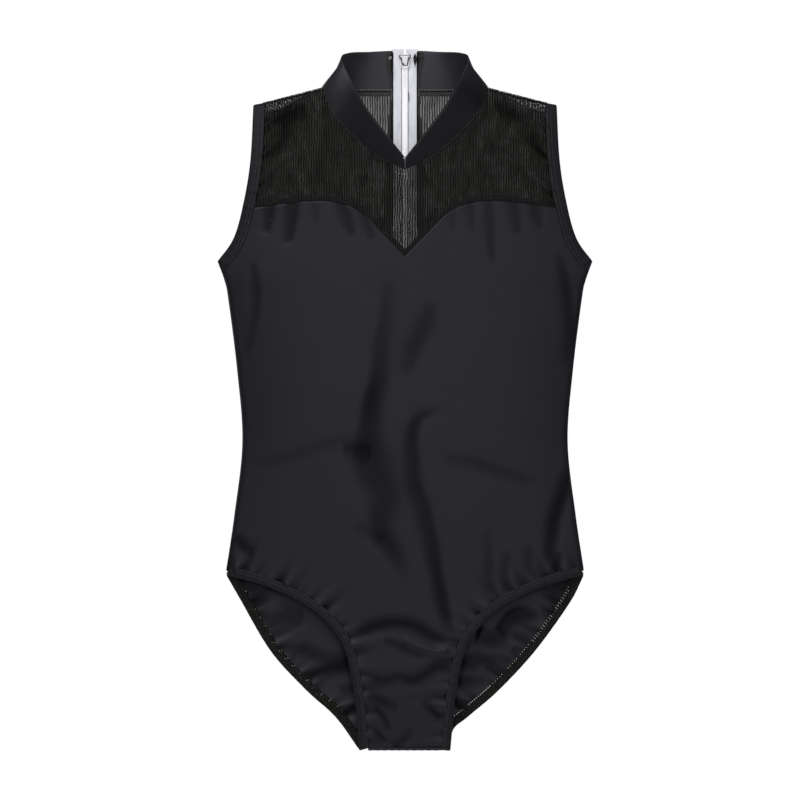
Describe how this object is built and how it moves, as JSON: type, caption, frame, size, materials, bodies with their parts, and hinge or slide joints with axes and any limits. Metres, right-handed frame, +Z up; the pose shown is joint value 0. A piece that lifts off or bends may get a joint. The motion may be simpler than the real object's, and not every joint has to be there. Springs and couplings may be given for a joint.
{
  "type": "gymnastics leotard",
  "caption": "Sleeveless black leotard with a sweetheart front, sheer mesh yoke, notched mock-neck collar, bound armholes and legs, and a zip down the back.",
  "frame": {"origin": "the bottom fold of the crotch, in the garment's middle plane from side to side and from front to back", "axes": "+Z up towards the collar, -Y out of the front, +X towards the right of someone who looks at the front"},
  "size_m": [0.3566, 0.0512, 0.6666],
  "materials": {
    "lycra": "matt black nylon and elastane knit with a soft sheen",
    "power_mesh": "sheer black stretch mesh, finely ribbed",
    "collar_lycra": "smooth double layer of black knit",
    "binding": "folded knit binding with two rows of coverstitch",
    "elastic": "flat woven elastic, off-white",
    "zip_tape": "white woven polyester tape",
    "zip_coil": "white nylon coil",
    "zip_metal": "white enamelled zinc alloy"
  },
  "bodies": {
    "garment": {"armhole_binding_left": "binding", "armhole_binding_right": "binding", "back_body_panel_left": "lycra", "back_body_panel_right": "lycra", "back_yoke_mesh_left": "power_mesh", "back_yoke_mesh_right": "power_mesh", "center_back_seam": "lycra", "collar_left": "collar_lycra", "collar_right": "collar_lycra", "crotch_gusset_lining": "lycra", "crotch_seam": "lycra", "front_body_panel": "lycra", "front_yoke_mesh": "power_mesh", "leg_binding_left": "binding", "leg_binding_right": "binding", "leg_elastic_left": "elastic", "leg_elastic_right": "elastic", "shoulder_seam_left": "lycra", "shoulder_seam_right": "lycra", "side_seam_left": "lycra", "side_seam_right": "lycra", "zip_bottom_stop": "zip_metal"},
    "zip_side_left": {"zip_tape_left": "zip_tape", "zip_coil_left": "zip_coil", "zip_top_stop_left": "zip_metal"},
    "zip_side_right": {"zip_tape_right": "zip_tape", "zip_coil_right": "zip_coil", "zip_top_stop_right": "zip_metal"},
    "slider": {"zip_slider": "zip_metal"},
    "pull_tab": {"zip_pull_tab": "zip_metal"}
  },
  "joints": [
    {"name": "slider_travel", "type": "slide", "parent": "garment", "child": "slider", "axis": [0, 0, -1], "range_m": [0, 0.278]},
    {"name": "pull_tab_swing", "type": "hinge", "parent": "slider", "child": "pull_tab", "pos_m": [0, 0.0251, 0.657], "axis": [1, 0, 0], "range_deg": [0, 170]},
    {"name": "back_opening_left", "type": "hinge", "parent": "garment", "child": "zip_side_left", "pos_m": [0, 0.0222, 0.363], "axis": [0, -1, 0], "range_deg": [0, 7.1], "deforming": ["collar_left", "back_yoke_mesh_left"]},
    {"name": "back_opening_right", "type": "hinge", "parent": "garment", "child": "zip_side_right", "pos_m": [0, 0.0222, 0.363], "axis": [0, 1, 0], "range_deg": [0, 7.1], "deforming": ["collar_right", "back_yoke_mesh_right"]}
  ],
  "couplings": [
    {"joint": "back_opening_left", "follows": "slider_travel", "rad_per_m": 0.4395},
    {"joint": "back_opening_right", "follows": "slider_travel", "rad_per_m": 0.4395}
  ]
}
